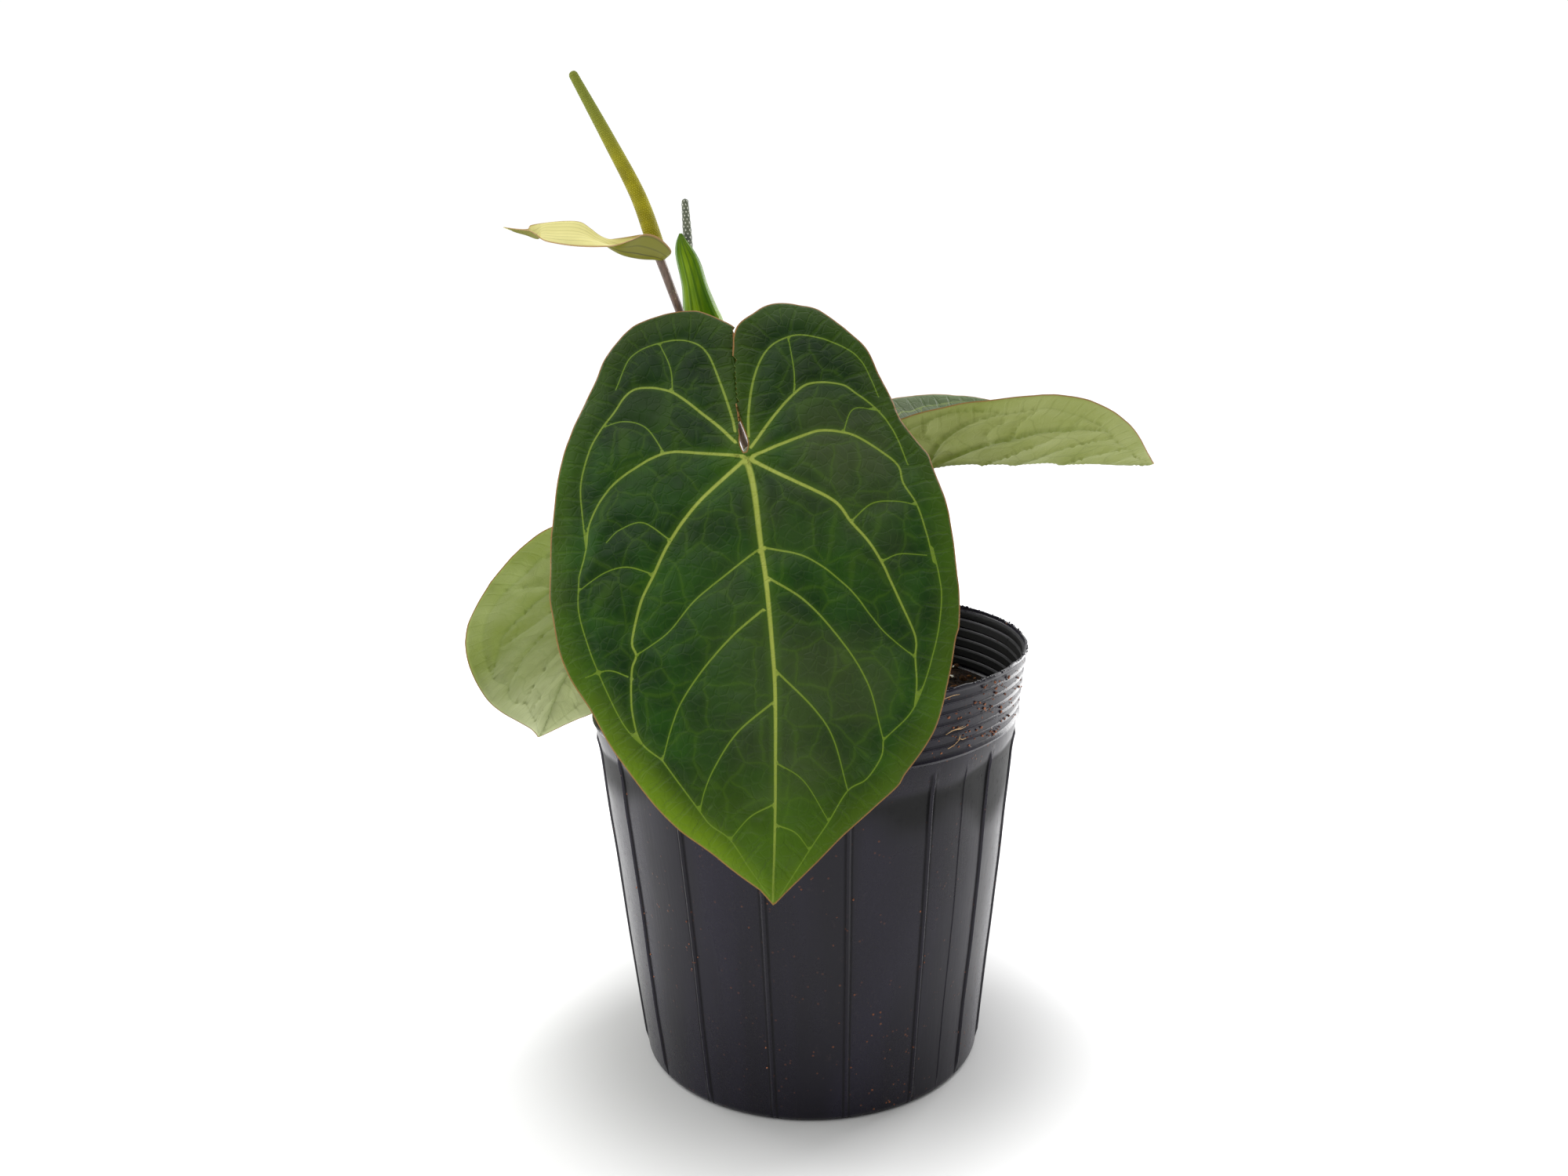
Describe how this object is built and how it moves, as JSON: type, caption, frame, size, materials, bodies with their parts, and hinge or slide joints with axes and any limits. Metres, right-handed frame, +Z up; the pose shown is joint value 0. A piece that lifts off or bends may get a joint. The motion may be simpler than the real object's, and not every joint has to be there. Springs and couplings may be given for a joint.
{
  "type": "potted anthurium plant",
  "caption": "Potted anthurium with heart-shaped pale-veined leaves, a spathe and spadix on a tall stalk, in a thin black nursery pot.",
  "frame": {"origin": "centre of the pot's flat underside, on the surface it stands on", "axes": "+Z up along the pot's axis, -Y to the plant's front, where the largest leaf hangs over the rim, +X to its right"},
  "size_m": [0.2457, 0.201, 0.3355],
  "materials": {
    "pot_plastic": "thin blow-moulded black plastic, satin, dusty",
    "mix": "coir and bark potting mix, rough",
    "bark": "broken bark, rough",
    "root": "corky, matt",
    "crown": "short fibrous stem, matt",
    "leaf": "leathery leaf, dark satin upper side, pale underside, pale veins",
    "petiole": "smooth leaf stalk, satin",
    "stalk": "smooth purple-brown flower stalk, satin",
    "spathe": "pale yellow-green bract with fine long veins, satin",
    "spadix": "olive flower spike, finely bumpy, matt",
    "young_spathe": "fresh green bract, glossy",
    "young_spadix": "grey-green flower spike with pale dots, matt",
    "sheath": "dry papery sheath"
  },
  "bodies": {
    "root": {"nursery_pot": "pot_plastic", "potting_mix": "mix", "crown": "crown", "root_1": "root", "root_2": "root", "root_3": "root", "root_4": "root", "root_5": "root", "front_leaf": "leaf", "front_petiole": "petiole", "right_leaf": "leaf", "right_petiole": "petiole", "left_leaf": "leaf", "left_petiole": "petiole", "flower_stalk": "stalk", "spathe": "spathe", "spadix": "spadix", "young_flower_stalk": "stalk", "young_spathe": "young_spathe", "young_spadix": "young_spadix", "sheath_1": "sheath", "sheath_2": "sheath", "sheath_3": "sheath", "bark_chip_1": "bark", "bark_chip_2": "bark", "bark_chip_3": "bark", "bark_chip_4": "bark", "bark_chip_5": "bark", "bark_chip_6": "bark", "bark_chip_7": "bark", "bark_chip_8": "bark", "bark_chip_9": "bark"}
  },
  "joints": []
}
